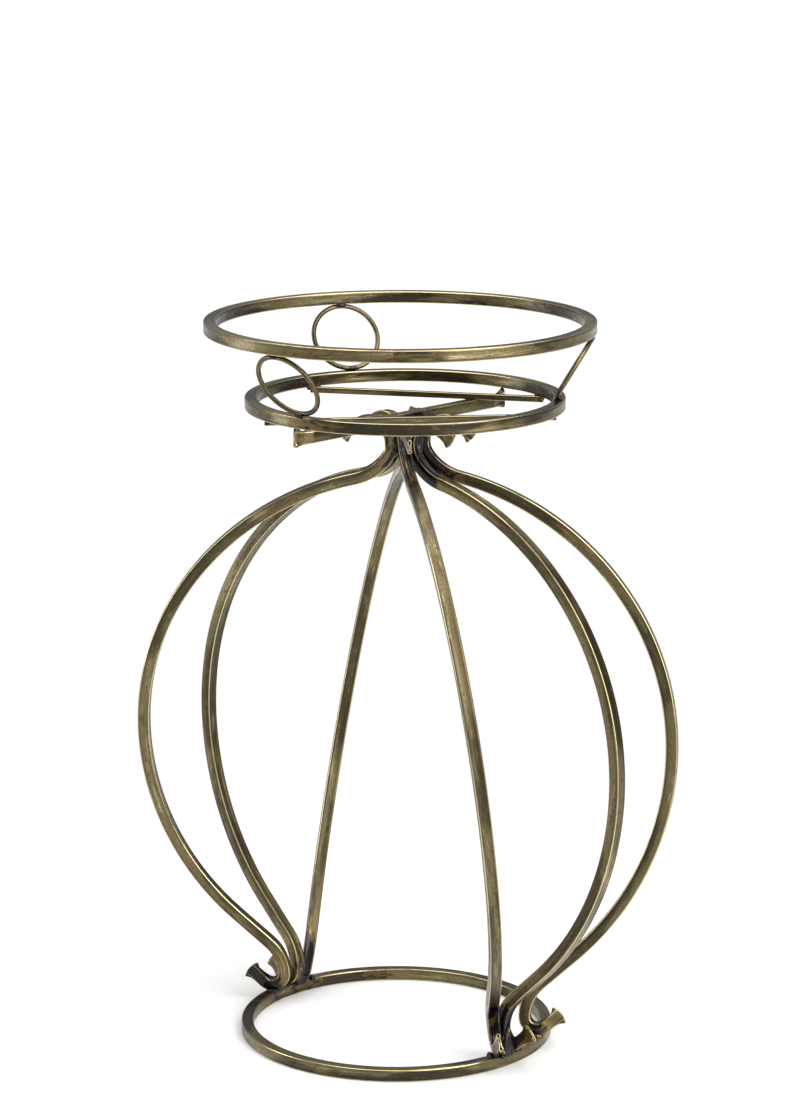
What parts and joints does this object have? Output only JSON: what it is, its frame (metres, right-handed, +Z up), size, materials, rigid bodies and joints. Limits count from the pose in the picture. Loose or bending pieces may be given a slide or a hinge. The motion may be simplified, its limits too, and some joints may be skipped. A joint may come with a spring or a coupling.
{
  "type": "plant stand",
  "caption": "Welded metal plant stand: bowed square-tube legs on a base ring, pinched at a neck under two stacked rings that hold a pot.",
  "frame": {"origin": "centre of the base ring on the floor", "axes": "+Z up, the front of the stand faces -Y"},
  "size_m": [0.4449, 0.433, 0.599],
  "materials": {
    "ring_tube": "antique brass, brushed, with dark weld zones",
    "leg_tube": "antique brass, brushed, darkened at the neck and feet",
    "crossbar_tube": "antique brass with heat tint at the pinched ends",
    "rod_steel": "antique brass, dark",
    "hoop_wire": "antique brass wire",
    "weld": "dark burnt weld bead"
  },
  "bodies": {
    "root": {"base_ring": "ring_tube", "holder_ring": "ring_tube", "guard_ring": "ring_tube", "leg_left": "leg_tube", "leg_rear_left": "leg_tube", "leg_rear": "leg_tube", "leg_right": "leg_tube", "leg_front_right": "leg_tube", "leg_front": "leg_tube", "crossbar": "crossbar_tube", "front_rod": "rod_steel", "rear_rod": "rod_steel", "hoop_left": "hoop_wire", "hoop_right": "hoop_wire", "hoop_rear": "hoop_wire", "left_foot_welds": "weld", "right_foot_welds": "weld", "neck_welds": "weld", "rod_welds": "weld", "hoop_welds": "weld"}
  },
  "joints": []
}
